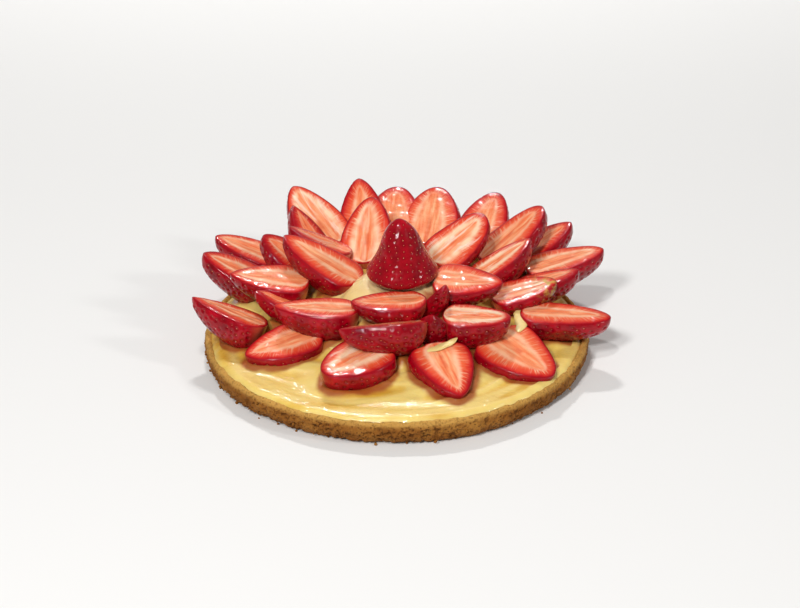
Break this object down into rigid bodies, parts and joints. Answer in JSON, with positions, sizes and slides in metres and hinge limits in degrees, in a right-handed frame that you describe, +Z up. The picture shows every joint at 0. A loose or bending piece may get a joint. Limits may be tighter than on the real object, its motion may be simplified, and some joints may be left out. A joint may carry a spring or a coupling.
{
  "type": "strawberry tart",
  "caption": "Round shortcrust tart of custard with halved strawberries standing in three rings round one whole berry.",
  "frame": {"origin": "middle of the shell's flat underside, on the surface that the tart stands on", "axes": "+Z up; -Y is the front, where the halved berries lie lowest and the custard shows; +X is to the right seen from the front"},
  "size_m": [0.2152, 0.2111, 0.074],
  "materials": {
    "pastry": "baked shortcrust, matte, fine open crumb",
    "custard": "set custard under a thin clear glaze",
    "strawberry": "fresh strawberry, red skin and paler cut face, glazed"
  },
  "bodies": {
    "root": {"centre_strawberry": "strawberry", "custard": "custard", "inner_half_1": "strawberry", "inner_half_2": "strawberry", "inner_half_3": "strawberry", "inner_half_4": "strawberry", "inner_half_5": "strawberry", "inner_half_6": "strawberry", "middle_half_1": "strawberry", "middle_half_10": "strawberry", "middle_half_11": "strawberry", "middle_half_12": "strawberry", "middle_half_13": "strawberry", "middle_half_14": "strawberry", "middle_half_2": "strawberry", "middle_half_3": "strawberry", "middle_half_4": "strawberry", "middle_half_5": "strawberry", "middle_half_6": "strawberry", "middle_half_7": "strawberry", "middle_half_8": "strawberry", "middle_half_9": "strawberry", "outer_half_1": "strawberry", "outer_half_10": "strawberry", "outer_half_11": "strawberry", "outer_half_12": "strawberry", "outer_half_13": "strawberry", "outer_half_14": "strawberry", "outer_half_15": "strawberry", "outer_half_2": "strawberry", "outer_half_3": "strawberry", "outer_half_4": "strawberry", "outer_half_5": "strawberry", "outer_half_6": "strawberry", "outer_half_7": "strawberry", "outer_half_8": "strawberry", "outer_half_9": "strawberry", "shell": "pastry"}
  },
  "joints": []
}
